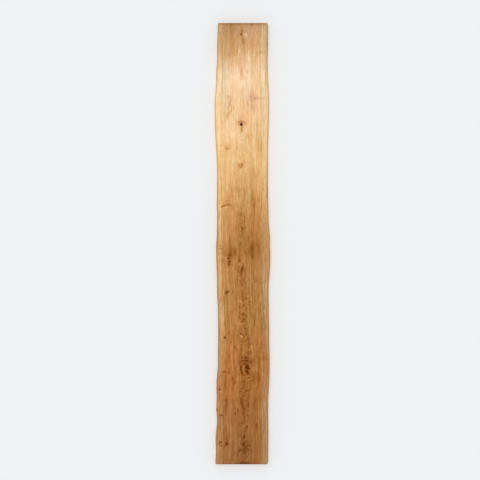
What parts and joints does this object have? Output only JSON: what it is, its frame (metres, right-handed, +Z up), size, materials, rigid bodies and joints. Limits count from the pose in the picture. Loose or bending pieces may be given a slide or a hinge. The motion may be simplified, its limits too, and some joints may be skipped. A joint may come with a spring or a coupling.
{
  "type": "live-edge timber plank",
  "caption": "Long sawn hardwood plank with flat faces and square-cut ends, and the log's wavy natural edges left on; raw stock for shelves, benches and table tops.",
  "frame": {"origin": "middle of the lower sawn face, at the bottom centre of the box", "axes": "+X across the plank, +Y along the grain towards the end that is up in the picture, +Z up through the thickness, out of the face that the picture shows"},
  "size_m": [0.304, 2.4, 0.045],
  "materials": {
    "timber": "satin oiled hardwood with knots and bold grain"
  },
  "bodies": {
    "root": {"plank": "timber"}
  },
  "joints": []
}
